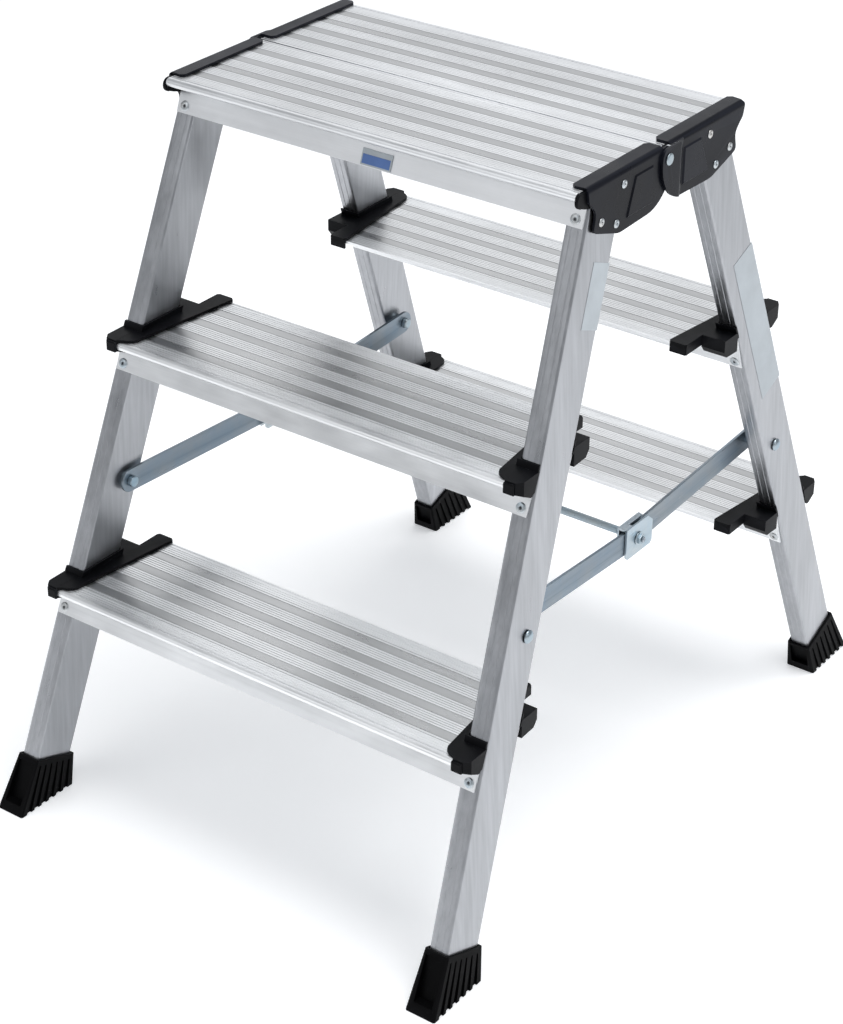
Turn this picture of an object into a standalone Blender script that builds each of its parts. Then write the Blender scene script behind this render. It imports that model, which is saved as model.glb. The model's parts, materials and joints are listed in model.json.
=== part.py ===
"""Double-sided folding step ladder: two frames of three treads hinged under a split platform.

Everything is drawn in millimetres in one half-frame system (x, q, z) and mirrored into place:
x is the distance from the middle plane, q the distance outward from the hinge plane, z the
height above the floor.  The front frame lies on -Y, the rear frame on +Y.
"""
import math

import bmesh
import bpy

MM = 0.001
GAP = 0.3                                # clearance between touching pieces

# overall shape
HEIGHT = 700.0                           # top of the platform
TREAD_PITCH = 234.0                      # height from tread to tread
TREADS = ("lower", "middle")
TREAD_Z = {"lower": HEIGHT - 2 * TREAD_PITCH, "middle": HEIGHT - TREAD_PITCH}
LEAN = math.radians(21.0)                # stiles off vertical, seen from the side
SPLAY = 0.0563                           # sideways slope of each stile
TAN, COS = math.tan(LEAN), math.cos(LEAN)

# stiles
STILE_NOSE = 107.0                       # outward face at platform height
STILE_DEEP = 50.0 / COS                  # level cut through the 50 mm deep tube
STILE_WIDE = 21.0
STILE_OUT = 225.0                        # outer face at platform height
STILE_WALL = 1.6
STILE_RADIUS = 3.0

# tread extrusion, measured inward (u) from the groove behind its nose
NOSE_GROOVE = 129.4                      # distance q of that groove at platform height
TREAD_DEEP = 128.2
BAND_PITCH = 26.9
BAND_FIRST = 8.95
BANDS = 5
RIBS = 5
RIB_PITCH = 3.15
RIB_HALF = 1.12
VALLEY = -0.4
STRIP_Z = -0.15
STRIP_HALF = 4.85
PLATE_UNDER = -2.5
FLANGE = 2.0
NOSE_FLANGE_Z = -35.5
INNER_FLANGE_Z = -41.5
TREAD_HALF = {"platform": 224.5, "middle": 236.5, "lower": 249.5}

# rubber feet
SOLE_X, SOLE_Q = (237.2, 270.0), (313.5, 387.5)
SOLE_CORNER = 1.4
FOOT_RIM = 52.0                          # height of the rim on the outward face
FOOT_FLOOR = 6.0                         # rubber left under the stile
FOOT_GROOVES = 6
GROOVE_FIRST, GROOVE_PITCH = 325.0, 10.4

# hinge
PIVOT_Z = 690.0
HINGE_X = 228.3                          # inner face of the hinge plates
HINGE_THICK = 2.5
HINGE_STEP = 2.8                         # the rear lug stands this much farther out
HINGE_BEND = 5.0                         # outer radius where the flange folds down
STEP_NEAR, STEP_FAR = 19.0, 27.0         # the step of the rear plate lies between these q
REACH = {"front": 0.955, "rear": 1.03}   # length of each plate against the common outline
FLANGE_X, FLANGE_START = 213.0, 6.0      # inner edge and hinge end of the flange

# stays
STAY_Q, STAY_Z = 220.5, 317.0            # pivots on the stiles
STAY_MID_Z = 305.0                       # middle joint, just past dead centre
STAY_WIDE, STAY_THICK = 24.0, 3.0
ROD_Q, ROD_Z, ROD_R = -17.0, 317.0, 3.75
FRONT_STAY_X, REAR_STAY_X = 219.0, 215.7
CLIP_OUT, CLIP_IN, CLIP_THICK = 222.5, 213.4, 2.0
BOLT_R, BORE_R = 3.0, 3.3
HEAD_R, NUT_R, BUSH_R = 6.5, 5.6, 7.5


# ---------------------------------------------------------------- solids

def drop(z):
    """How far a height lies below the top of the platform."""
    return HEIGHT - z


def nose_q(z):
    """Outward face of the stiles."""
    return STILE_NOSE + TAN * drop(z)


def inner_q(z):
    """Face of the stiles that looks at the hinge plane."""
    return nose_q(z) - STILE_DEEP


def out_x(z):
    """Outer side of the stiles."""
    return STILE_OUT + SPLAY * drop(z)


def in_x(z):
    """Inner side of the stiles."""
    return out_x(z) - STILE_WIDE


def groove_q(z):
    """Distance q of the nose groove of the tread whose top is at z."""
    return NOSE_GROOVE + TAN * drop(z)


def arc(cx, cy, radius, start, end, steps):
    """Points of a circular arc, angles in degrees."""
    angles = [math.radians(start + (end - start) * i / steps) for i in range(steps + 1)]
    return [(cx + radius * math.cos(a), cy + radius * math.sin(a)) for a in angles]


def loft(loops, closed=False):
    """Skin over rings of points; capped at both ends, or joined end to start when closed."""
    bm = bmesh.new()
    rings = [[bm.verts.new(p) for p in loop] for loop in loops]
    pairs = list(zip(rings, rings[1:]))
    if closed:
        pairs.append((rings[-1], rings[0]))
    else:
        bm.faces.new(rings[0])
        bm.faces.new(rings[-1])
    count = len(rings[0])
    for low, high in pairs:
        for i in range(count):
            j = (i + 1) % count
            bm.faces.new((low[i], low[j], high[j], high[i]))
    bmesh.ops.recalc_face_normals(bm, faces=bm.faces)
    if bm.calc_volume(signed=True) < 0:
        bmesh.ops.reverse_faces(bm, faces=bm.faces)
    mesh = bpy.data.meshes.new("solid")
    bm.to_mesh(mesh)
    bm.free()
    return mesh


def along_x(outline, x0, x1):
    """Outline of (q, z) points swept from x0 to x1."""
    return loft([[(x, q, z) for q, z in outline] for x in (x0, x1)])


def along_z(outline, z0, z1):
    """Outline of (x, q) points swept from z0 to z1."""
    return loft([[(x, q, z) for x, q in outline] for z in (z0, z1)])


def block(x, q, z):
    """Box from three (low, high) pairs."""
    return along_x([(q[0], z[0]), (q[1], z[0]), (q[1], z[1]), (q[0], z[1])], x[0], x[1])


def leaning(x_low, x_high, q_low, q_high, z0, z1):
    """Prism whose four side faces follow functions of the height."""
    return loft([[(x_low(z), q_low(z), z), (x_high(z), q_low(z), z),
                  (x_high(z), q_high(z), z), (x_low(z), q_high(z), z)] for z in (z0, z1)])


def turned(profile, q, z, steps=24):
    """Round solid about an axis along x; profile is (x, radius) pairs."""
    return loft([[(x, q + r * math.cos(math.tau * i / steps), z + r * math.sin(math.tau * i / steps))
                  for i in range(steps)] for x, r in profile])


def ring(x0, x1, bore, radius, q, z, steps=24):
    """Washer or sleeve about an axis along x."""
    corners = ((x0, bore), (x0, radius), (x1, radius), (x1, bore))
    return loft([[(x, q + r * math.cos(math.tau * i / steps), z + r * math.sin(math.tau * i / steps))
                  for i in range(steps)] for x, r in corners], closed=True)


def combine(mesh, tools, operation):
    """Join the tools to a solid, or cut them from it, one after another."""
    for tool in tools:
        body = bpy.data.objects.new("body", mesh)
        cutter = bpy.data.objects.new("cutter", tool)
        for item in (body, cutter):
            bpy.context.scene.collection.objects.link(item)
        step = body.modifiers.new("step", "BOOLEAN")
        step.operation = operation
        step.solver = "EXACT"
        step.object = cutter
        bpy.context.view_layer.update()
        depsgraph = bpy.context.evaluated_depsgraph_get()
        result = bpy.data.meshes.new_from_object(body.evaluated_get(depsgraph))
        for item in (body, cutter):
            bpy.data.objects.remove(item)
        bpy.data.meshes.remove(mesh)
        bpy.data.meshes.remove(tool)
        mesh = result
    return mesh


def join(mesh, *tools):
    return combine(mesh, tools, "UNION")


def cut(mesh, *tools):
    return combine(mesh, tools, "DIFFERENCE")


def common(mesh, tool):
    return combine(mesh, (tool,), "INTERSECT")


def place(name, mesh, material, parent, origin, side=1, half=1):
    """Mirror a half-frame solid into the world, put its origin at a point and parent it."""
    bm = bmesh.new()
    bm.from_mesh(mesh)
    for v in bm.verts:
        v.co = ((side * v.co.x - origin[0]) * MM, (half * v.co.y - origin[1]) * MM,
                (v.co.z - origin[2]) * MM)
    if bm.calc_volume(signed=True) < 0:
        bmesh.ops.reverse_faces(bm, faces=bm.faces)
    bm.to_mesh(mesh)
    bm.free()
    mesh.name = name
    mesh.materials.clear()
    mesh.materials.append(material)
    for polygon in mesh.polygons:
        polygon.use_smooth = True
    mesh.set_sharp_from_angle(angle=math.radians(35.0))
    item = bpy.data.objects.new(name, mesh)
    bpy.context.scene.collection.objects.link(item)
    item.parent = parent
    item.location = [a * MM - b for a, b in zip(origin, pivot_of(parent))]
    return item


def pivot_of(empty):
    """World position of one of the axis empties, which are only ever shifted."""
    total = empty.location.copy()
    while empty.parent:
        empty = empty.parent
        total = total + empty.location
    return total


def axis_empty(name, location, parent=None):
    """Empty that marks the axis its children turn about."""
    empty = bpy.data.objects.new(name, None)
    empty.empty_display_size = 0.05
    bpy.context.scene.collection.objects.link(empty)
    empty.parent = parent
    base = pivot_of(parent) if parent else (0.0, 0.0, 0.0)
    empty.location = [a * MM - b for a, b in zip(location, base)]
    return empty


def material(name, colour, roughness, metallic):
    made = bpy.data.materials.new(name)
    made.use_nodes = True
    shader = made.node_tree.nodes["Principled BSDF"]
    shader.inputs["Base Color"].default_value = (*colour, 1.0)
    shader.inputs["Roughness"].default_value = roughness
    shader.inputs["Metallic"].default_value = metallic
    return made


# ---------------------------------------------------------------- pieces

def stile_loop(inset, radius, groove):
    """Level cut through a stile as (dx, dq) from its inner nose-side corner, inset by the wall."""
    wide, deep = STILE_WIDE, STILE_DEEP
    corners = ((wide - inset - radius, inset + radius, -90), (wide - inset - radius, deep - inset - radius, 0),
               (inset + radius, deep - inset - radius, 90), (inset + radius, inset + radius, 180))
    rows = []
    for index, (cx, cy, start) in enumerate(corners):
        rows += arc(cx, cy, radius, start, start + 90, 3)
        if index in (1, 3):
            # two shallow lines run the length of each narrow face
            level = deep - inset if index == 1 else inset
            depth = -groove if index == 1 else groove
            line = []
            for middle in (7.0, 14.0):
                line += [(middle - 0.6, level), (middle - 0.3, level + depth),
                         (middle + 0.3, level + depth), (middle + 0.6, level)]
            rows += line[::-1] if index == 1 else line
    return rows


def stile():
    """Sheared rectangular tube, open at both ends, bored for the stay screw."""
    foot_z, top_z = 6.3, HEIGHT + PLATE_UNDER - GAP
    outer = stile_loop(0.0, STILE_RADIUS, 0.3)
    inner = stile_loop(STILE_WALL, STILE_RADIUS - STILE_WALL, 0.0)
    rings = []
    for loop, z in ((outer, foot_z), (outer, top_z), (inner, top_z), (inner, foot_z)):
        rings.append([(in_x(z) + dx, inner_q(z) + dq, z) for dx, dq in loop])
    tube = loft(rings, closed=True)
    return cut(tube, turned([(200.0, BORE_R), (260.0, BORE_R)], STAY_Q, STAY_Z))


def tread_outline():
    """Section of the tread extrusion as (u, z), u inward from the nose groove."""
    top = arc(-2.5, -4.0, 4.0, 270, 90, 8)
    top += [(-0.5, 0.0), (-0.5, -0.8), (0.5, -0.8), (0.5, 0.0), (1.1, 0.0), (1.1, VALLEY)]
    for band in range(BANDS):
        centre = BAND_FIRST + band * BAND_PITCH
        for rib in range(RIBS):
            at = centre + (rib - (RIBS - 1) / 2) * RIB_PITCH
            if band == 0 and rib == 0:
                top += [(at - RIB_HALF + 0.3, VALLEY), (at - RIB_HALF + 0.3, 0.0)]
            else:
                top += [(at - RIB_HALF, VALLEY), (at - RIB_HALF, 0.0)]
            top += [(at + RIB_HALF, 0.0), (at + RIB_HALF, VALLEY)]
        if band < BANDS - 1:
            strip = centre + BAND_PITCH / 2
            top += [(strip - STRIP_HALF, VALLEY), (strip - STRIP_HALF, STRIP_Z),
                    (strip + STRIP_HALF, STRIP_Z), (strip + STRIP_HALF, VALLEY)]
    last = TREAD_DEEP
    top += [(last - 2.1, VALLEY), (last - 2.1, 0.0), (last, 0.0), (last, -3.0),
            (last - 4.0, -3.0), (last - 5.0, PLATE_UNDER)]
    # flange on the face of the stiles that looks at the hinge plane
    back = NOSE_GROOVE - STILE_NOSE + STILE_DEEP
    near, far = back + GAP / COS, back + (GAP + FLANGE) / COS
    top += [(far + TAN * PLATE_UNDER, PLATE_UNDER), (far + TAN * INNER_FLANGE_Z, INNER_FLANGE_Z),
            (near + TAN * INNER_FLANGE_Z, INNER_FLANGE_Z), (near + TAN * PLATE_UNDER, PLATE_UNDER)]
    # flange on their outward face, then the slope up to the rounded nose
    face = NOSE_GROOVE - STILE_NOSE
    near, far = face - GAP / COS, face - (GAP + FLANGE) / COS
    top += [(near + TAN * PLATE_UNDER, PLATE_UNDER), (near + TAN * NOSE_FLANGE_Z, NOSE_FLANGE_Z),
            (far + TAN * NOSE_FLANGE_Z, NOSE_FLANGE_Z), (far + TAN * -15.0, -15.0)]
    return top


def tread(name):
    """Ribbed extrusion with a hollow nose; lower ones are notched round the stiles."""
    z = HEIGHT if name == "platform" else TREAD_Z[name]
    groove = groove_q(z)
    half = TREAD_HALF[name]
    body = along_x([(groove - u, z + h) for u, h in tread_outline()], -half, half)
    hollow = [(-0.5, -3.2), (16.5, -3.2), (13.5, -11.0)]
    body = cut(body, along_x([(groove - u, z + h) for u, h in hollow], -half - 5, half + 5))
    if name == "platform":
        return body
    plate_end, nose_end = in_x(z) - 6.0, in_x(z) + 5.0
    for low, high in ((plate_end, 280.0), (-280.0, -plate_end)):
        body = cut(body, block((low, high), (groove - 135.0, groove - 21.0), (z - 3.6, z + 5.0)))
    for low, high in ((nose_end, 280.0), (-280.0, -nose_end)):
        body = cut(body, block((low, high), (groove - 22.0, groove + 10.0), (z - 15.3, z + 6.0)))
    return body


def rim_z(q):
    """Height of the sloping rim of a foot, square to the stile."""
    return FOOT_RIM + (q - nose_q(FOOT_RIM)) * TAN


def foot_body():
    """Shoe without its ribs: flat sole below, rim that fits round the stile above."""
    wall = 2.3 + GAP
    (x0, x1), (q0, q1), corner = SOLE_X, SOLE_Q, SOLE_CORNER
    sole = [(x0, q0 + corner), (x0 + corner, q0), (x1 - corner, q0), (x1, q0 + corner),
            (x1, q1 - corner), (x1 - corner, q1), (x0 + corner, q1), (x0, q1 - corner)]
    rim = []
    for x, q in sole:
        outward, outside = q > sum(SOLE_Q) / 2, x > sum(SOLE_X) / 2
        z = FOOT_RIM if outward else FOOT_RIM - 18.0
        edge = nose_q(z) + wall / COS if outward else inner_q(z) - wall / COS
        wide = out_x(z) + wall if outside else in_x(z) - wall
        if x in SOLE_X:
            edge += -corner if outward else corner
        else:
            wide += -corner if outside else corner
        rim.append((wide, edge, rim_z(edge)))
    body = loft([[(x, q, 0.0) for x, q in sole], rim])
    return cut(body, leaning(lambda z: in_x(z) - GAP, lambda z: out_x(z) + GAP,
                             lambda z: inner_q(z) - GAP / COS, lambda z: nose_q(z) + GAP / COS, FOOT_FLOOR, 80.0))


def foot_groove(index, outside):
    """Tapering groove on the inner or outer side of a foot, fanned with its neighbours."""
    q = GROOVE_FIRST + index * GROOVE_PITCH
    lean = 0.295 + 0.211 * (q - SOLE_Q[0]) / (SOLE_Q[1] - SOLE_Q[0])
    top = (rim_z(q) - 6.0) / (1 + lean * TAN)
    rows = []
    for z, half, proud in ((-2.0, 3.3, 3.6 if outside else 4.4), (top, 1.1, 1.4)):
        skin = out_x(z) + proud if outside else in_x(z) - proud
        far = skin + 12.0 if outside else skin - 12.0
        middle = q - lean * z
        rows.append([(skin, middle - half, z), (far, middle - half, z),
                     (far, middle + half, z), (skin, middle + half, z)])
    return loft(rows)


def foot_panel(outward):
    """Sunk panel on one of the narrow faces of a foot."""
    rows = []
    for z in ((9.0, 48.5) if outward else (8.0, 30.0)):
        skin = nose_q(z) + 1.9 if outward else inner_q(z) - 1.9
        far = skin + 20.0 if outward else skin - 20.0
        low, high = in_x(z) + 0.5, out_x(z) - 0.5
        rows.append([(low, skin, z), (high, skin, z), (high, far, z), (low, far, z)])
    return loft(rows)


def foot():
    """Rubber shoe: wide flat sole, fanned ribs on its sides, sunk panels, pocket for the stile."""
    tools = [foot_groove(index, outside) for index in range(FOOT_GROOVES) for outside in (True, False)]
    tools += [foot_panel(outward) for outward in (True, False)]
    return cut(foot_body(), *tools)


def cap(name):
    """Moulded end cap: strip over the tread end, hooks at both edges, collar round the stile."""
    z = TREAD_Z[name]
    groove = groove_q(z)
    x_in, x_out = in_x(z), out_x(z)

    def plan(points, low, high):
        return along_z([(x, groove - u) for x, u in points], z + low, z + high)

    face = NOSE_GROOVE - STILE_NOSE
    back = face + STILE_DEEP
    strip_end = TREAD_DEEP + 2.8
    wall = x_in - 4.4
    strip = plan([(x_in + 5.4, -6.0), (x_in + 2.0, -2.6), (x_in - 3.5, -0.6), (x_in - 7.6, 2.6), (x_in - 9.8, 7.0),
                  (x_in - 10.2, 11.0), (x_in - 24.0, strip_end - 2.5), (x_in - 22.0, strip_end),
                  (wall - 2.0, strip_end), (wall, strip_end - 2.0), (wall, back + 25.0),
                  (x_out - 0.4, back + 25.0), (x_out - 0.4, -6.0)], GAP, 3.0)
    middle = plan([(x_in - 5.6, 21.4), (x_in - 5.6, back + 10.0), (x_out - 0.2, back + 10.0),
                   (x_out - 0.2, 21.4)], -3.3, 2.8)
    nose = [(-7.2, 2.6), (-7.2, -8.2), (1.0, -12.0), (10.0, -17.0), (13.0, -17.0), (13.9, -15.0),
            (16.2, -15.0), (23.2, 3.1), (-6.6, 3.1)]
    nose = along_x([(groove - u, z + h) for u, h in nose], x_in + 5.3, x_out)
    lip = [(-9.6, 0.8), (-9.6, -8.0), (-8.6, -8.8), (-6.0, -8.8), (-6.0, 1.9), (-8.7, 1.9)]
    lip = along_x([(groove - u, z + h) for u, h in lip], x_in + 5.2, x_in + 15.5)
    bracket = [(back + 1.6, 2.9), (back + 26.0, 2.9), (back + 26.0, -9.0), (back + 21.0, -15.5),
               (back + 1.6, -16.5)]
    bracket = along_x([(groove - u, z + h) for u, h in bracket], wall - 0.2, x_out - 0.1)
    skirt = plan([(x_in - 5.6, back + 8.0), (wall - 0.1, back + 8.0), (wall - 0.1, strip_end - 1.0),
                  (x_in - 5.6, strip_end - 1.0)], -8.0, 2.0)
    hook = plan([(x_in - 22.8, TREAD_DEEP + GAP), (x_in - 22.8, strip_end - 0.2), (wall - 1.0, strip_end - 0.2),
                 (wall - 1.0, TREAD_DEEP + GAP)], -8.2, 2.1)
    rim = leaning(lambda h: in_x(h) - 2.2, lambda h: out_x(h) - 0.3,
                  lambda h: inner_q(h) - 2.3 / COS, lambda h: nose_q(h) + 2.3 / COS, z + 1.0, z + 8.5)
    slot = leaning(lambda h: in_x(h) - GAP, lambda h: out_x(h) + 20.0,
                   lambda h: inner_q(h) - GAP / COS, lambda h: nose_q(h) + GAP / COS, z - 60.0, z + 40.0)
    chamfer = plan([(x_out - 8.0, -12.0), (x_out + 3.0, -12.0), (x_out + 3.0, 3.8)], -30.0, 10.0)
    body = join(strip, middle, nose, lip, bracket, skirt, hook, rim)
    return cut(body, chamfer, slot)


def plug():
    """Plastic piece closing the hollow nose of a platform half."""
    outline = arc(-0.8, -7.0, 6.8, 270, 90, 12)
    outline += [(21.0, -0.2), (18.2, -9.5), (14.2, -15.0), (12.0, -18.0), (5.0, -16.0)]
    outline = [(NOSE_GROOVE - u, HEIGHT + h) for u, h in outline]
    tongue = [(1.0, -4.0), (14.5, -4.0), (12.5, -9.5)]
    tongue = [(NOSE_GROOVE - u, HEIGHT + h) for u, h in tongue]
    start = TREAD_HALF["platform"] + GAP
    return join(along_x(outline, start, HINGE_X - GAP), along_x(tongue, start - 14.0, start + 1.0))


def rounded(points, radius, steps=4):
    """Outline with each corner replaced by a short curve no longer than its sides allow."""
    made = []
    for i, (cx, cy) in enumerate(points):
        before, after = points[i - 1], points[(i + 1) % len(points)]
        ends = []
        for ex, ey in (before, after):
            length = math.hypot(ex - cx, ey - cy)
            reach = min(radius, 0.45 * length) / length
            ends.append((cx + (ex - cx) * reach, cy + (ey - cy) * reach))
        for step in range(steps + 1):
            t = step / steps
            made.append(tuple((1 - t) ** 2 * a + 2 * t * (1 - t) * c + t * t * b
                              for a, c, b in zip(ends[0], (cx, cy), ends[1])))
    return made


def hinge_outline(word):
    """Side view of a hinge plate as (q, z)."""
    top = HEIGHT + GAP + HINGE_THICK
    shoulder = STEP_FAR + 2.0 if word == "rear" else FLANGE_START
    corners = [(131.5, top), (128.0, 688.0), (124.0, 685.0), (117.5, 678.0), (116.5, 673.0), (120.0, 659.0),
               (77.0, 645.5)]
    corners = [(q * REACH[word], z) for q, z in corners]
    lug = arc(29.6, 687.0, 40.0, 266.0, 180.0, 12)
    steps = 3
    curve = rounded([(shoulder + 1.0, top)] + corners + [lug[0]], 5.0, steps)[steps + 1:-steps - 1]
    return curve + lug + [(-9.9, 693.5), (-7.0, 698.5), (-2.5, 700.5), (shoulder - 1.0, 700.5), (shoulder + 1.0, top)]


def stepped_sheet():
    """Sheet along the side of the rear frame whose end stands out over the front plate."""
    outer, steps = HINGE_X + HINGE_THICK, 6
    bend = []
    for index in range(steps + 1):
        t = index / steps
        bend.append((HINGE_STEP * (1 - math.cos(math.pi * t)) / 2, STEP_FAR + (STEP_NEAR - STEP_FAR) * t))
    inside = [(HINGE_X, 140.0)] + [(HINGE_X + d, q) for d, q in bend] + [(HINGE_X + HINGE_STEP, -20.0)]
    outside = [(outer, 140.0)] + [(outer + d, q) for d, q in bend] + [(outer + HINGE_STEP, -20.0)]
    return along_z(inside + outside[::-1], 630.0, 720.0)


def fold_waste(first, last, end):
    """Waste outside the rounded fold between two q, down to an angle of its arc."""
    outer, high = HINGE_X + HINGE_THICK, HEIGHT + GAP + HINGE_THICK
    outline = arc(outer - HINGE_BEND, high - HINGE_BEND, HINGE_BEND, 90, end, 6)
    outline += [(outer + 9.0, outline[-1][1]), (outer + 9.0, high + 9.0), (outer - HINGE_BEND, high + 9.0)]
    return loft([[(x, q, z) for x, z in outline] for q in (first, last)])


def hinge_plate(word):
    """Pressed plate with a flange over the tread; on the rear frame the lug is stepped outward."""
    outer = HINGE_X + HINGE_THICK
    outline = hinge_outline(word)
    if word == "rear":
        body = common(stepped_sheet(), along_x(outline, HINGE_X - 8.0, outer + 9.0))
        panel = (STEP_FAR + 0.5, 59.5, 74.0)
    else:
        body = along_x(outline, HINGE_X, outer)
        panel = (21.0, 52.5, 64.0)
    low, high = HEIGHT + GAP, HEIGHT + GAP + HINGE_THICK
    far = 131.0 * REACH[word]
    flange = along_z([(FLANGE_X, FLANGE_START + 4.0), (FLANGE_X + 3.0, FLANGE_START), (outer, FLANGE_START),
                      (outer, far - 2.0), (FLANGE_X + 4.0, far), (FLANGE_X, far - 3.5)], low, high)
    # pressed panel between the pivot and the rivets
    near, upper, lower = panel
    boss = loft([[(x, q, z) for q, z in ((near + d, 692.5 - d), (upper - d, 692.5 - d), (lower - d, 654.5 + d),
                                        (near + d, 654.5 + d))] for x, d in ((outer - 1.0, 0.0), (outer + 1.2, 2.6))])
    body = join(body, flange, boss)
    # round the fold from flange to side; above the stepped end only the flange is rounded
    start = STEP_FAR if word == "rear" else -20.0
    for first, last, end in ((start, 150.0, 0.0), (-20.0, start, 35.0)):
        if first < last:
            body = cut(body, fold_waste(first, last, end))
    return cut(body, turned([(210.0, BORE_R), (250.0, BORE_R)], 0.0, PIVOT_Z))


def hinge_pin():
    """Headed rivet through both hinge lugs."""
    inner, outer = HINGE_X - GAP, HINGE_X + HINGE_THICK + HINGE_STEP + GAP
    return turned([(inner - 2.2, 3.6), (inner - 1.6, 5.0), (inner, 5.0), (inner, BOLT_R), (outer, BOLT_R),
                   (outer, 5.75), (outer + 0.9, 5.4), (outer + 1.6, 3.8)], 0.0, PIVOT_Z)


def stay(x0):
    """Flat bar with rounded ends, from the stile pivot to the middle joint."""
    slope = math.degrees(math.atan2(STAY_Z - STAY_MID_Z, STAY_Q))
    radius = STAY_WIDE / 2
    outline = arc(STAY_Q, STAY_Z, radius, slope - 90, slope + 90, 12)
    outline += arc(0.0, STAY_MID_Z, radius, slope + 90, slope + 270, 12)
    body = along_x(outline, x0, x0 + STAY_THICK)
    return cut(body, turned([(x0 - 5, BORE_R), (x0 + 8, BORE_R)], STAY_Q, STAY_Z),
               turned([(x0 - 5, BORE_R), (x0 + 8, BORE_R)], 0.0, STAY_MID_Z))


def clip():
    """Folded channel over the middle joint; its roof stops the stays just past dead centre."""
    side = [(-21.0, 292.0), (-18.0, 289.0), (22.0, 289.0), (25.0, 292.0), (25.0, 314.0), (16.0, 322.0), (-21.0, 322.0)]
    outer = along_x(side, CLIP_OUT, CLIP_OUT + CLIP_THICK)
    inner = along_x(side, CLIP_IN, CLIP_IN + CLIP_THICK)
    # only the front third spans both bars: farther back it would meet the front bar while folding
    roof = block((CLIP_IN + 0.5, CLIP_OUT + 1.5), (-20.9, -9.0), (320.0, 321.9))
    ledge = block((CLIP_IN + 0.5, FRONT_STAY_X - GAP), (-20.8, 15.0), (320.0, 321.8))
    body = join(outer, roof, ledge, inner)
    return cut(body, turned([(200.0, BORE_R), (240.0, BORE_R)], 0.0, STAY_MID_Z))


def joint_bolt():
    """Domed bolt head on the outside of the clip, its shank ending inside the clip's wall."""
    face = CLIP_OUT + CLIP_THICK + GAP
    return turned([(CLIP_OUT, BOLT_R), (face, BOLT_R), (face, HEAD_R), (face + 1.4, HEAD_R), (face + 3.4, 4.6),
                   (face + 4.4, 2.2)], 0.0, STAY_MID_Z)


def stay_screw(bar_x):
    """Screw through the stile: domed head outside, nut behind the stay."""
    head = out_x(STAY_Z) + 0.9
    nut = bar_x - GAP
    return turned([(nut - 5.0, 4.6), (nut - 4.4, NUT_R), (nut, NUT_R), (nut, BOLT_R), (head, BOLT_R), (head, HEAD_R),
                   (head + 1.2, 6.3), (head + 2.8, 4.6), (head + 3.6, 2.2)], STAY_Q, STAY_Z)


def bush(bar_x):
    """Spacer between a stay and its stile."""
    return ring(bar_x + STAY_THICK + GAP, in_x(STAY_Z) - 0.75, BORE_R, BUSH_R, STAY_Q, STAY_Z)


def rod():
    """Round bar that ties the two middle joints together."""
    end = CLIP_IN - GAP
    narrow = ROD_R - 0.75
    return turned([(-end, narrow), (-end + 0.8, ROD_R), (end - 0.8, ROD_R), (end, narrow)], ROD_Q, ROD_Z)


# ---------------------------------------------------------------- assembly

def build():
    for item in list(bpy.data.objects):
        bpy.data.objects.remove(item, do_unlink=True)

    aluminium = material("aluminium_tread", (0.76, 0.77, 0.78), 0.34, 1.0)
    tube = material("aluminium_stile", (0.66, 0.67, 0.69), 0.38, 1.0)
    black = material("black_plastic", (0.018, 0.018, 0.020), 0.42, 0.0)
    rubber = material("black_rubber", (0.016, 0.016, 0.017), 0.62, 0.0)
    painted = material("black_painted_steel", (0.030, 0.032, 0.038), 0.45, 0.0)
    zinc = material("zinc_plated_steel", (0.48, 0.55, 0.60), 0.36, 1.0)

    front = axis_empty("front_frame_origin", (0, 0, 0))
    rear = axis_empty("hinge_axis", (0, 0, PIVOT_Z), front)
    front_stays = axis_empty("front_stay_axis", (0, -STAY_Q, STAY_Z), front)
    rear_stays = axis_empty("rear_stay_axis", (0, STAY_Q, STAY_Z), rear)
    hinge = (0, 0, PIVOT_Z)

    for half, word, frame in ((-1, "front", front), (1, "rear", rear)):
        place("%s_platform" % word, tread("platform"), aluminium, frame, (0, half * NOSE_GROOVE, HEIGHT), 1, half)
        for name in TREADS:
            z = TREAD_Z[name]
            place("%s_%s_tread" % (word, name), tread(name), aluminium, frame, (0, half * groove_q(z), z), 1, half)
        for side, hand in ((-1, "left"), (1, "right")):
            at = "%s_%s" % (word, hand)
            place("%s_stile" % at, stile(), tube, frame, (side * out_x(0), half * nose_q(0), 0), side, half)
            place("%s_foot" % at, foot(), rubber, frame, (side * out_x(0), half * nose_q(0), 0), side, half)
            for name in TREADS:
                z = TREAD_Z[name]
                place("%s_%s_cap" % (at, name), cap(name), black, frame,
                      (side * out_x(z), half * groove_q(z), z), side, half)
            place("%s_hinge_plate" % at, hinge_plate(word), painted, frame,
                  (side * HINGE_X, 0, PIVOT_Z), side, half)
            place("%s_nose_plug" % at, plug(), black, frame, (side * HINGE_X, half * NOSE_GROOVE, HEIGHT), side, half)
            bar_x = FRONT_STAY_X if half < 0 else REAR_STAY_X
            pivot = (side * bar_x, half * STAY_Q, STAY_Z)
            bars = front_stays if half < 0 else rear_stays
            place("%s_stay" % at, stay(bar_x), zinc, bars, pivot, side, half)
            place("%s_stay_screw" % at, stay_screw(bar_x), zinc, frame, pivot, side, half)
            place("%s_stay_bush" % at, bush(bar_x), zinc, frame, pivot, side, half)

    for side, hand in ((-1, "left"), (1, "right")):
        middle = (side * CLIP_OUT, 0, STAY_MID_Z)
        place("%s_hinge_pin" % hand, hinge_pin(), zinc, front, (side * HINGE_X, 0, PIVOT_Z), side, 1)
        place("%s_joint_clip" % hand, clip(), zinc, rear_stays, middle, side, 1)
        place("%s_joint_bolt" % hand, joint_bolt(), zinc, rear_stays, middle, side, 1)
    place("tie_rod", rod(), zinc, rear_stays, (0, 0, STAY_MID_Z), 1, 1)


build()
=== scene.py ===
"""Looks of the double-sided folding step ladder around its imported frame."""

import json
import math

import bmesh
import bpy
from mathutils import Matrix, Vector


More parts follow.
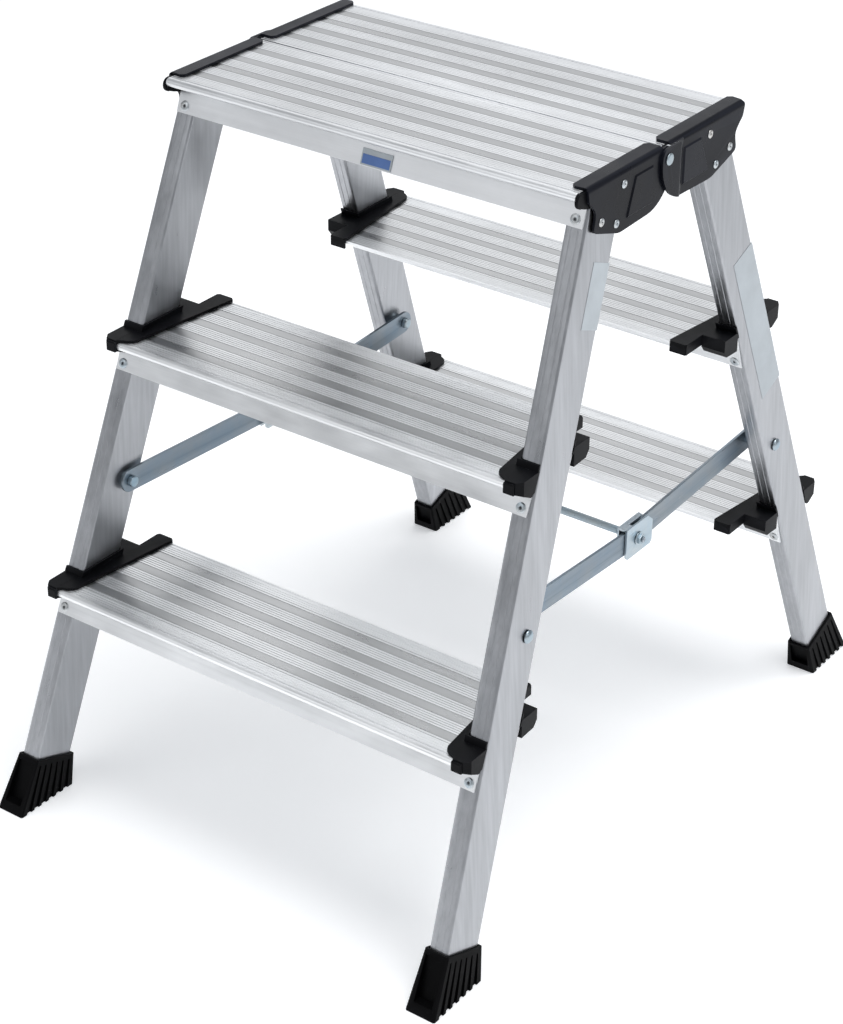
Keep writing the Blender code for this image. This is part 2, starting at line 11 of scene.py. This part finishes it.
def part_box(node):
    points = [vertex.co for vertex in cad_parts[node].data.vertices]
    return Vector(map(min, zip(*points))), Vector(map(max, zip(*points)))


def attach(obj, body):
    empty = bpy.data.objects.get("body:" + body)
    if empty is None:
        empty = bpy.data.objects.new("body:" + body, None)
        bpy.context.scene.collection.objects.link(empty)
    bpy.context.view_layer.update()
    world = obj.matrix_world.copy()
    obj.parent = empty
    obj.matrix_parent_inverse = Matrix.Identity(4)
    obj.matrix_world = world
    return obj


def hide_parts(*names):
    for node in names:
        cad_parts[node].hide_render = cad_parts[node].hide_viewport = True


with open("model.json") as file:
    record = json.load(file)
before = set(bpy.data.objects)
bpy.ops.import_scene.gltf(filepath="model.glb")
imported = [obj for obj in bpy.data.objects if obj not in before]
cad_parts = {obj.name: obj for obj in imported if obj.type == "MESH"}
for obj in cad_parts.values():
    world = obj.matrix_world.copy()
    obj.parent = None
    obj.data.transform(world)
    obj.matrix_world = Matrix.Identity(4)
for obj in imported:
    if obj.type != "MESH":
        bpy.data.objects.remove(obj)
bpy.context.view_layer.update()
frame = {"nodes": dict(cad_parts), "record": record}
nodes = frame["nodes"]
slots = {s["node"]: s["material_slot"] for s in frame["record"]["subparts"]}
body_of = {n: b for b, members in frame["record"]["behaviour"]["bodies"].items() for n in members}

# dimensions of the CAD model: q is the distance from the hinge plane, x from the middle plane
MM = 0.001
TOP = 0.700                               # platform
TREADS = {"platform": 0.700, "middle_tread": 0.466, "lower_tread": 0.232}
LEAN = math.radians(21)                   # stiles off vertical
TAN, COS, SIN = math.tan(LEAN), math.cos(LEAN), math.sin(LEAN)
SPLAY = 0.0563                            # sideways slope of the stiles
STILE_NOSE, STILE_OUT, STILE_DEEP = 0.107, 0.225, 0.050
GROOVE = 0.1294                           # q of the groove behind the platform's nose
BAND_PITCH = 0.0269                       # from one smooth strip of a tread to the next
STRIP_FIRST = 0.0224                      # from the groove to the middle of the first strip
STRIP_SHARE = 0.19                        # half width of a strip as a share of the pitch
STRIPS_START, STRIPS_END = 0.012, 0.113   # where the strips lie, inward from the groove
FLANGE_FACE = 2.35 * MM                   # outside of the tread flanges off the stile
RIVET_INSET = 0.0105                      # rivets inside the outer side of the stile
NOSE_RIVET, INNER_RIVET = 0.029, 0.035    # rivets below the top of their tread
PLATE_FACE = 0.2308                       # x of the outside of the hinge plates
CLIP_FACE = 0.2248                        # x of the outside of the clips, with clearance
HINGE_RIVETS = {"front": ((0.0685, 0.689), (0.1025, 0.6655), (0.0785, 0.6560)),
                "rear": ((0.0740, 0.689), (0.1110, 0.6655), (0.0875, 0.6560))}
# the same aluminium on every tread, painted darker on the platform and lighter on the lower treads:
# painted light and shade
TREAD_LIT_AND_SHADED_COLOUR = {"platform": (0.80, 0.81, 0.825), "middle_tread": (0.89, 0.90, 0.91),
               "lower_tread": (0.93, 0.94, 0.95)}


def nose_q(z):
    """Outward face of the stiles."""
    return STILE_NOSE + TAN * (TOP - z)


def inner_q(z):
    """Face of the stiles that looks at the hinge plane."""
    return nose_q(z) - STILE_DEEP / COS


def out_x(z):
    """Outer side of the stiles."""
    return STILE_OUT + SPLAY * (TOP - z)


# ---------------------------------------------------------------- materials

class Nodes:
    """Small helper that wires a procedural Principled material."""

    def __init__(self, name, colour, roughness, metallic):
        self.made = bpy.data.materials.new(name)
        self.made.use_nodes = True
        self.tree = self.made.node_tree
        self.shader = self.tree.nodes["Principled BSDF"]
        self.shader.inputs["Base Color"].default_value = (*colour, 1)
        self.shader.inputs["Roughness"].default_value = roughness
        self.shader.inputs["Metallic"].default_value = metallic
        self.coords = self.tree.nodes.new("ShaderNodeTexCoord").outputs["Object"]

    def add(self, kind, inputs=None, **settings):
        node = self.tree.nodes.new(kind)
        for key, value in settings.items():
            setattr(node, key, value)
        for key, value in (inputs or {}).items():
            if isinstance(value, bpy.types.NodeSocket):
                self.tree.links.new(value, node.inputs[key])
            else:
                node.inputs[key].default_value = value
        return node

    def link(self, a, b):
        self.tree.links.new(a, b)

    def math(self, operation, a, b=0.0):
        return self.add("ShaderNodeMath", {0: a, 1: b}, operation=operation).outputs[0]

    def noise(self, scale, stretch=(1, 1, 1), rotation=(0, 0, 0), detail=4.0):
        placed = self.add("ShaderNodeMapping",
                          {"Vector": self.coords, "Scale": stretch, "Rotation": rotation})
        return self.add("ShaderNodeTexNoise",
                        {"Vector": placed.outputs[0], "Scale": scale, "Detail": detail,
                         "Roughness": 0.6}).outputs["Fac"]

    def remap(self, value, low, high, to_low, to_high):
        return self.add("ShaderNodeMapRange", {"Value": value, "From Min": low, "From Max": high,
                                               "To Min": to_low, "To Max": to_high}).outputs[0]

    def mix(self, factor, a, b):
        node = self.add("ShaderNodeMix", data_type="RGBA")
        for index, value in ((0, factor), (6, a), (7, b)):
            if isinstance(value, bpy.types.NodeSocket):
                self.link(value, node.inputs[index])
            else:
                node.inputs[index].default_value = value
        return node.outputs[2]

    def bump(self, height, strength, distance):
        node = self.add("ShaderNodeBump", {"Height": height, "Strength": strength, "Distance": distance})
        self.link(node.outputs[0], self.shader.inputs["Normal"])

    def edge_wear_and_sheen(self, colour, bright, amount):
        """Lighter colour on exposed edges, partly wear and partly painted highlight."""
        edge = self.add("ShaderNodeNewGeometry").outputs["Pointiness"]
        mask = self.remap(edge, 0.52, 0.60, 0.0, amount)
        return self.mix(mask, colour, bright)


def extruded(name, colour, roughness, direction, lean=0.0, strips=None):
    """Extruded aluminium: drawing lines along one axis, cloudy patches, darker smooth strips."""
    m = Nodes(name, colour, roughness, 1.0)
    along = {"x": (1.5, 260, 260), "z": (260, 260, 2.0)}[direction]
    lines = m.noise(1.0, along, (lean, 0, 0), 3.0)
    cloud = m.noise(14.0, {"x": (1, 3, 3), "z": (3, 3, 1)}[direction], (lean, 0, 0), 5.0)
    patch = m.noise(4.0, {"x": (1, 3, 3), "z": (6, 6, 1)}[direction], (lean, 0, 0), 2.0)
    depth = 0.03 if strips is not None else 0.08
    shade = m.math("MULTIPLY", m.remap(lines, 0.3, 0.7, 1 - depth, 1 + depth),
                   m.remap(cloud, 0.3, 0.7, 0.93, 1.05))
    shade = m.math("MULTIPLY", shade, m.remap(patch, 0.3, 0.7, 0.90, 1.06))
    rough = m.remap(cloud, 0.3, 0.7, roughness - 0.07, roughness + 0.09)
    if strips is not None:
        # distance inward from the nose groove, folded into one pitch with the strip in its middle
        split = m.add("ShaderNodeSeparateXYZ", {0: m.coords}).outputs
        inward = m.math("SUBTRACT", strips, m.math("ABSOLUTE", split[1]))
        before = m.math("SUBTRACT", inward, STRIP_FIRST - BAND_PITCH / 2)
        phase = m.math("FRACT", m.math("DIVIDE", before, BAND_PITCH))
        off = m.math("ABSOLUTE", m.math("SUBTRACT", phase, 0.5))
        smooth = m.math("LESS_THAN", off, STRIP_SHARE)
        level = m.math("GREATER_THAN", split[2], strips_level(strips))
        inside = m.math("MULTIPLY", m.math("GREATER_THAN", inward, STRIPS_START),
                        m.math("LESS_THAN", inward, STRIPS_END))
        mask = m.math("MULTIPLY", m.math("MULTIPLY", smooth, level), inside)
        shade = m.math("MULTIPLY", shade, m.remap(mask, 0, 1, 1.0, 0.54))
        # painted shade on the floor of the fine grooves between ribs
        groove_painted_shade = m.math("MULTIPLY", m.math("LESS_THAN", split[2], strips_level(strips) + 0.0012),
                      m.math("MULTIPLY", level, inside))
        groove_painted_shade = m.math("MULTIPLY", groove_painted_shade, m.math("SUBTRACT", 1.0, smooth))
        shade = m.math("MULTIPLY", shade, m.remap(groove_painted_shade, 0, 1, 1.0, 0.50))
        rough = m.math("ADD", rough, m.math("MULTIPLY", mask, -0.08))
    tint = m.add("ShaderNodeHueSaturation", {"Color": (*colour, 1), "Value": shade}).outputs[0]
    m.link(tint, m.shader.inputs["Base Color"])
    m.link(rough, m.shader.inputs["Roughness"])
    if strips is None:
        m.bump(lines, 0.08, 0.0002)
    return m.made


def strips_level(groove):
    """Height just under the walking surface of the tread whose nose groove lies at that distance."""
    return TOP - (groove - GROOVE) / TAN - 0.0015


def moulded(name, colour, roughness, grain, shine=0.18):
    """Black plastic or rubber with a fine grain and slightly lighter edges, partly wear and partly
    painted highlight.
    """
    m = Nodes(name, colour, roughness, 0.0)
    fine = m.noise(900.0, detail=2.0)
    cloud = m.noise(25.0, detail=4.0)
    m.shader.inputs["Specular IOR Level"].default_value = shine
    darker, lighter, edge = [(*[c * gain + lift for c in colour], 1)
                             for gain, lift in ((0.8, 0.0), (1.5, 0.0), (3.0, 0.004))]
    base = m.mix(m.remap(cloud, 0.3, 0.7, 0, 1), darker, lighter)
    m.link(m.edge_wear_and_sheen(base, edge, 0.5), m.shader.inputs["Base Color"])
    m.link(m.remap(cloud, 0.3, 0.7, roughness - 0.07, roughness + 0.08), m.shader.inputs["Roughness"])
    m.bump(fine, grain, 0.0002)
    return m.made


def plated(name, colour, roughness):
    """Zinc plating with bluish and warm patches and brushing marks."""
    m = Nodes(name, colour, roughness, 1.0)
    cloud = m.noise(30.0, detail=5.0)
    fine = m.noise(1.0, (300, 20, 300), detail=3.0)
    cool = (colour[0] * 0.85, colour[1] * 0.97, colour[2] * 1.04, 1)
    warm = (colour[0] * 1.12, colour[1] * 1.05, colour[2] * 0.98, 1)
    base = m.mix(m.remap(cloud, 0.35, 0.65, 0, 1), cool, warm)
    # lighter exposed edges, partly wear and partly painted highlight
    m.link(m.edge_wear_and_sheen(base, (0.8, 0.82, 0.84, 1), 0.4), m.shader.inputs["Base Color"])
    m.link(m.remap(fine, 0.3, 0.7, roughness - 0.08, roughness + 0.1), m.shader.inputs["Roughness"])
    m.bump(cloud, 0.08, 0.0003)
    return m.made


tread_metal = {name: extruded("tread_%s" % name, TREAD_LIT_AND_SHADED_COLOUR[name], 0.38, "x",
                              strips=GROOVE + TAN * (TOP - z))
               for name, z in TREADS.items()}
stile_metal = {word: extruded("stile_%s" % word, (0.42, 0.43, 0.45), 0.34, "z", lean=turn)
               for word, turn in (("front", LEAN), ("rear", -LEAN))}
plastic = moulded("moulded_plastic", (0.0028, 0.0030, 0.0038), 0.36, 0.12, 0.07)
rubber = moulded("moulded_rubber", (0.0014, 0.0014, 0.0017), 0.48, 0.20, 0.05)
coated = moulded("coated_steel", (0.0046, 0.0052, 0.0080), 0.30, 0.08, 0.095)
zinc = plated("zinc_plating", (0.34, 0.41, 0.46), 0.34)
bar_zinc = plated("zinc_bars", (0.135, 0.175, 0.215), 0.34)
rivet_metal = plated("rivet_aluminium", (0.50, 0.51, 0.52), 0.32)
# near-black mandrel ends of the rivets: painted shade in the rivet holes
rivet_hole_shade = plated("rivet_core", (0.05, 0.05, 0.055), 0.5)
label = moulded("blank_plate", (0.060, 0.105, 0.235), 0.35, 0.03)
sticker = moulded("blank_sticker", (0.235, 0.255, 0.27), 0.35, 0.03)


# ---------------------------------------------------------------- geometry

def finish_mesh(obj, bevel, segments=2, angle=30):
    """Rounded edges with clean normals."""
    for polygon in obj.data.polygons:
        polygon.use_smooth = True
    if bevel:
        edge = obj.modifiers.new("rounded_edges", "BEVEL")
        edge.width = bevel
        edge.segments = segments
        edge.limit_method = "ANGLE"
        edge.angle_limit = math.radians(angle)
        edge.use_clamp_overlap = True
    normals = obj.modifiers.new("normals", "WEIGHTED_NORMAL")
    normals.keep_sharp = False


def piece(name, bm, material, body, bevel=0.0, segments=2):
    """New piece that rides on a body."""
    mesh = bpy.data.meshes.new(name)
    bmesh.ops.recalc_face_normals(bm, faces=bm.faces)
    bm.to_mesh(mesh)
    bm.free()
    mesh.materials.append(material)
    obj = bpy.data.objects.new(name, mesh)
    bpy.context.scene.collection.objects.link(obj)
    finish_mesh(obj, bevel, segments)
    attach(obj, body)
    return obj


def refined(node, material, bevel, segments=2):
    """The solid of a CAD node with flat faces made whole again and rounded edges, in its place."""
    bm = bmesh.new()
    bm.from_mesh(nodes[node].data)
    bmesh.ops.remove_doubles(bm, verts=bm.verts, dist=2e-6)
    bmesh.ops.dissolve_limit(bm, angle_limit=math.radians(0.6), verts=bm.verts, edges=bm.edges)
    obj = piece("%s_skin" % node, bm, material, body_of[node], bevel, segments)
    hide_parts(node)
    return obj


def lathe(name, profile, at, axis, material, body, steps=28, bevel=0.0):
    """Round piece from (radius, height) pairs, standing on a point along an axis."""
    bm = bmesh.new()
    turn = Vector((0, 0, 1)).rotation_difference(Vector(axis).normalized()).to_matrix()
    rings = []
    angles = [math.tau * i / steps for i in range(steps)]
    for r, h in profile:
        spots = [Vector((r * MM * math.cos(a), r * MM * math.sin(a), h * MM)) for a in angles]
        rings.append([bm.verts.new(Vector(at) + turn @ spot) for spot in spots])
    for low, high in zip(rings, rings[1:]):
        for i in range(steps):
            j = (i + 1) % steps
            bm.faces.new((low[i], low[j], high[j], high[i]))
    bm.faces.new(rings[0])
    bm.faces.new(rings[-1])
    return piece(name, bm, material, body, bevel)


def rivet(name, at, axis, body, radius=5.0):
    """Blind rivet: domed ring round the sunk end of its mandrel, the end painted near black as the shade
    in the hole.
    """
    k = radius / 5.0
    dome = ((4.6, -0.2), (5.0, 0.05), (5.0, 0.35), (4.6, 0.8), (3.6, 1.2), (2.5, 1.35), (1.9, 1.25),
            (1.65, 0.9), (1.6, 0.3))
    core = ((1.5, 0.2), (1.5, 0.55), (1.2, 0.7), (0.4, 0.72))
    lathe(name, [(r * k, h) for r, h in dome], at, axis, rivet_metal, body)
    # mandrel end painted near black: painted shade in the hole
    lathe(name + "_core", [(r * k, h) for r, h in core], at, axis, rivet_hole_shade, body, 16)


def plate(name, corners, thick, material, body, bevel):
    """Thin panel: four corners and a thickness vector."""
    bm = bmesh.new()
    lower = [bm.verts.new(Vector(c)) for c in corners]
    upper = [bm.verts.new(Vector(c) + Vector(thick)) for c in corners]
    bm.faces.new(lower)
    bm.faces.new(upper)
    for i in range(4):
        j = (i + 1) % 4
        bm.faces.new((lower[i], lower[j], upper[j], upper[i]))
    return piece(name, bm, material, body, bevel)


# ---------------------------------------------------------------- CAD pieces with their finish

for node in sorted(nodes):
    kind = slots[node]
    if node.endswith("joint_bolt"):
        continue
    if kind == "aluminium_tread":
        refined(node, tread_metal[node.split("_", 1)[1]], 0.00018, 1)
    elif kind == "aluminium_stile":
        refined(node, stile_metal[node.split("_")[0]], 0.00025, 2)
    elif kind == "black_rubber":
        refined(node, rubber, 0.0007, 2)
    elif kind == "black_plastic":
        refined(node, plastic, 0.0007, 3)
    elif kind == "black_painted_steel":
        refined(node, coated, 0.0005, 2)
    else:
        refined(node, bar_zinc if node.endswith("stay") else zinc, 0.0004, 2)

# hexagon nuts and washers on the middle joints, in place of the plain heads
for side, hand in ((-1, "left"), (1, "right")):
    low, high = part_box("%s_joint_bolt" % hand)
    at = Vector((side * CLIP_FACE, (low.y + high.y) / 2, (low.z + high.z) / 2))
    washer = lathe("%s_joint_washer" % hand, [(3.2, 0), (6.4, 0), (6.5, 0.3), (6.4, 1.1), (3.2, 1.2)],
                   at, (side, 0, 0), zinc, "rear_stays", 32)
    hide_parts("%s_joint_bolt" % hand)
    lathe("%s_joint_nut" % hand, [(4.0, 1.1), (5.4, 1.2), (5.7, 1.5), (5.7, 4.0), (5.3, 4.4), (3.4, 4.5)],
          at, (side, 0, 0), zinc, "rear_stays", 6, 0.0003)
    lathe("%s_joint_thread" % hand, [(2.9, 4.0), (2.9, 5.6), (2.5, 6.1), (0.6, 6.2)],
          at, (side, 0, 0), bar_zinc, "rear_stays", 20)

# rivets that hold treads and hinge plates
for half, word in ((-1, "front"), (1, "rear")):
    for side, hand in ((-1, "left"), (1, "right")):
        body = "%s_frame" % word
        for name, top in TREADS.items():
            z = top - NOSE_RIVET
            q = nose_q(z) + FLANGE_FACE / COS
            rivet("%s_%s_%s_rivet" % (word, hand, name), (side * (out_x(z) - RIVET_INSET), half * q, z),
                  (0, half * COS, SIN), body)
            z = top - INNER_RIVET
            q = inner_q(z) - FLANGE_FACE / COS
            rivet("%s_%s_%s_inner_rivet" % (word, hand, name),
                  (side * (out_x(z) - RIVET_INSET), half * q, z),
                  (0, -half * COS, -SIN), body)
        for number, (q, z) in enumerate(HINGE_RIVETS[word]):
            rivet("%s_%s_hinge_rivet_%d" % (word, hand, number + 1), (side * PLATE_FACE, half * q, z),
                  (side, 0, 0), body, 3.9)


# blank plate and labels, with nothing written on them
def nose_plate(name, x_low, x_high, z_low, z_high, thick, material, bevel):
    """Panel on the nose flange of the front platform."""
    corners = [(x, -(nose_q(z) + FLANGE_FACE / COS), z)
               for x, z in ((x_low, z_low), (x_high, z_low), (x_high, z_high), (x_low, z_high))]
    plate(name, corners, (0, -thick * COS, thick * SIN), material, "front_frame", bevel)


nose_plate("front_blank_plate", -0.010, 0.0235, 0.6655, 0.6795, 0.0009, sticker, 0.0004)
nose_plate("front_blank_panel", -0.0085, 0.0220, 0.6668, 0.6748, 0.00115, label, 0.0002)
for half, word, q, z, long, wide in ((-1, "front", 0.1070, 0.5985, 0.0295, 0.0131),
                                     (1, "rear", 0.1776, 0.4664, 0.0870, 0.0178)):
    corners = []
    for a, b in ((-1, -1), (-1, 1), (1, 1), (1, -1)):
        height = z + b * wide * SIN - a * long * COS
        corners.append((out_x(height), half * (q + b * wide * COS + a * long * SIN), height))
    plate("%s_right_blank_label" % word, corners, (0.00025, 0, 0), sticker, "%s_frame" % word,
          0.0)


# ---------------------------------------------------------------- stage and camera

def stage():
    """Pale floor, dim world and four soft lamps."""
    bpy.ops.mesh.primitive_plane_add(size=30, location=(0, 0, -0.0005))
    floor = bpy.context.object
    floor.name = "floor"
    m = Nodes("pale_floor", (0.92, 0.92, 0.92), 0.9, 0.0)
    m.link(m.remap(m.noise(6.0), 0.3, 0.7, 0.86, 0.94), m.shader.inputs["Roughness"])
    m.shader.inputs["Emission Color"].default_value = (0.95, 0.97, 1.0, 1)
    m.shader.inputs["Emission Strength"].default_value = 0.30
    floor.data.materials.append(m.made)
    world = bpy.data.worlds.new("studio")
    bpy.context.scene.world = world
    world.use_nodes = True
    world.node_tree.nodes["Background"].inputs[0].default_value = (0.93, 0.96, 1.0, 1)
    world.node_tree.nodes["Background"].inputs[1].default_value = 0.42
    lamps = (("key", (0.7, 0.2, 3.9), 2.2, 95), ("front", (-1.3, -3.0, 2.5), 2.2, 16),
             ("back", (-2.1, 2.9, 2.9), 2.6, 18), ("side", (3.4, -0.6, 2.4), 2.0, 17))
    for name, at, size, power in lamps:
        data = bpy.data.lights.new(name, "AREA")
        data.size = size
        data.energy = power
        lamp = bpy.data.objects.new(name, data)
        bpy.context.scene.collection.objects.link(lamp)
        lamp.location = at
        lamp.rotation_euler = (Vector((0, 0, 0.35)) - Vector(at)).to_track_quat("-Z", "Y").to_euler()


def camera():
    """Long lens from the front right, slightly above."""
    azimuth, elevation, roll = math.radians(35.636), math.radians(31.137), math.radians(0.588)
    away = Vector((math.sin(azimuth) * math.cos(elevation), -math.cos(azimuth) * math.cos(elevation),
                   math.sin(elevation)))
    level = Vector((math.cos(azimuth), math.sin(azimuth), 0))
    up = away.cross(level)
    right = level * math.cos(roll) + up * math.sin(roll)
    up = up * math.cos(roll) - level * math.sin(roll)
    data = bpy.data.cameras.new("camera")
    data.lens = 88.233
    data.shift_x = -0.01707
    data.shift_y = 0.04223
    data.dof.use_dof = False
    eye = bpy.data.objects.new("camera", data)
    bpy.context.scene.collection.objects.link(eye)
    at = level * -0.00635 + Vector((0, 0, 0.20440)) + away * 2.54226
    eye.matrix_world = Matrix.Translation(at) @ Matrix((right, up, away)).transposed().to_4x4()
    bpy.context.scene.camera = eye


stage()
camera()
bpy.context.scene.view_settings.view_transform = "Standard"
